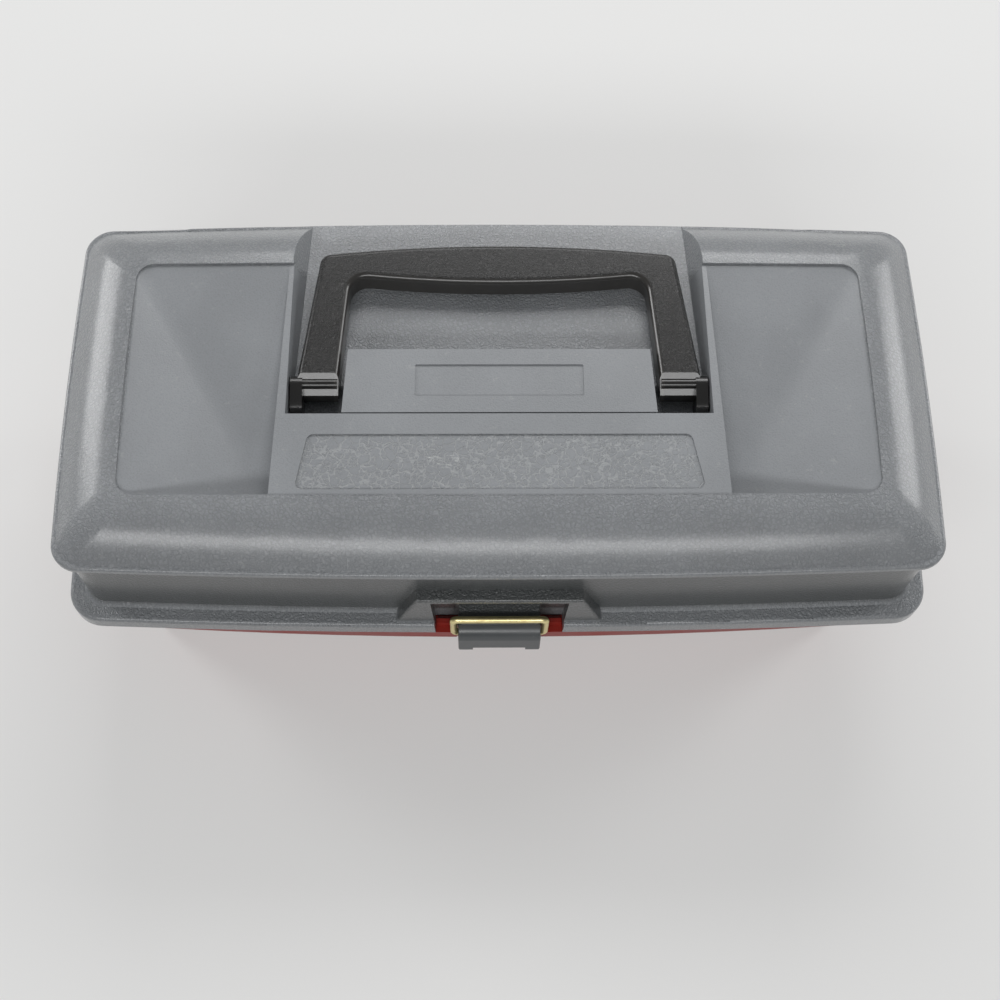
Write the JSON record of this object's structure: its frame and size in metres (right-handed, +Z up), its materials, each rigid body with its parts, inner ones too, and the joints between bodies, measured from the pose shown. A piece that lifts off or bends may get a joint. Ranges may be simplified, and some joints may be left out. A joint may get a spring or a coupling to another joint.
{
  "type": "tackle box",
  "caption": "One-tray tackle box with a dished hinged lid, fold-down handle, draw latch and a cantilever tray that rises level as the lid opens.",
  "frame": {"origin": "centre of the flat underside of the base", "axes": "+X along the length to the right as seen from the latch, -Y towards the latch, +Z up out of the lid"},
  "size_m": [0.3402, 0.1771, 0.129],
  "materials": {
    "red_base_plastic": "moulded, lightly textured",
    "grey_lid_plastic": "moulded, leather grain",
    "black_handle_plastic": "moulded, pebble grain",
    "grey_latch_plastic": "moulded, smooth",
    "yellow_brass_wire": "drawn wire",
    "plated_steel": "zinc plated",
    "rivet_metal": "satin",
    "tray_plastic": "moulded, satin"
  },
  "bodies": {
    "base": {"base_tub": "red_base_plastic", "latch_pin": "plated_steel", "hinge_pin_left": "plated_steel", "hinge_pin_right": "plated_steel", "base_rivet_rear_left": "rivet_metal", "base_rivet_rear_right": "rivet_metal", "base_rivet_front_left": "rivet_metal", "base_rivet_front_right": "rivet_metal"},
    "lid": {"lid_shell": "grey_lid_plastic", "link_rivet_high_left": "rivet_metal", "link_rivet_high_right": "rivet_metal"},
    "handle": {"carry_handle": "black_handle_plastic"},
    "lever": {"latch_lever": "grey_latch_plastic"},
    "bail": {"latch_bail": "yellow_brass_wire"},
    "rear_arms": {"rear_arm_left": "plated_steel", "rear_arm_right": "plated_steel", "link_rivet_low_left": "rivet_metal", "link_rivet_low_right": "rivet_metal"},
    "front_arms": {"front_arm_left": "plated_steel", "front_arm_right": "plated_steel"},
    "tray": {"tray": "tray_plastic", "tray_divider_1": "tray_plastic", "tray_divider_2": "tray_plastic", "tray_divider_3": "tray_plastic", "tray_rivet_rear_left": "rivet_metal", "tray_rivet_rear_right": "rivet_metal", "tray_rivet_front_left": "rivet_metal", "tray_rivet_front_right": "rivet_metal"},
    "lid_links": {"lid_link_left": "plated_steel", "lid_link_right": "plated_steel"}
  },
  "joints": [
    {"name": "lid_hinge", "type": "hinge", "parent": "base", "child": "lid", "pos_m": [0, 0.086, 0.064], "axis": [-1, 0, 0], "range_deg": [0, 105]},
    {"name": "handle_fold", "type": "hinge", "parent": "lid", "child": "handle", "pos_m": [0, -0.0076, 0.1194], "axis": [1, 0, 0], "range_deg": [0, 90]},
    {"name": "lever_turn", "type": "hinge", "parent": "base", "child": "lever", "pos_m": [0, -0.081, 0.072], "axis": [-1, 0, 0], "range_deg": [0, 100]},
    {"name": "bail_swing", "type": "hinge", "parent": "lever", "child": "bail", "pos_m": [0, -0.0805, 0.0658], "axis": [1, 0, 0], "range_deg": [0, 150]},
    {"name": "rear_arm_turn", "type": "hinge", "parent": "base", "child": "rear_arms", "pos_m": [0, 0.052, 0.0535], "axis": [-1, 0, 0], "range_deg": [0, 105]},
    {"name": "front_arm_turn", "type": "hinge", "parent": "base", "child": "front_arms", "pos_m": [0, -0.0062, 0.0535], "axis": [-1, 0, 0], "range_deg": [0, 105]},
    {"name": "tray_level", "type": "hinge", "parent": "rear_arms", "child": "tray", "pos_m": [0, 0.0042, 0.0577], "axis": [1, 0, 0], "range_deg": [0, 105]},
    {"name": "lid_link_turn", "type": "hinge", "parent": "lid", "child": "lid_links", "pos_m": [0, 0.048, 0.08], "axis": [1, 0, 0], "range_deg": [0, 105]}
  ],
  "couplings": [
    {"joint": "bail_swing", "follows": "lever_turn", "ratio": 1.5},
    {"joint": "rear_arm_turn", "follows": "lid_hinge", "ratio": 1},
    {"joint": "front_arm_turn", "follows": "lid_hinge", "ratio": 1},
    {"joint": "tray_level", "follows": "lid_hinge", "ratio": 1},
    {"joint": "lid_link_turn", "follows": "lid_hinge", "ratio": 1}
  ]
}
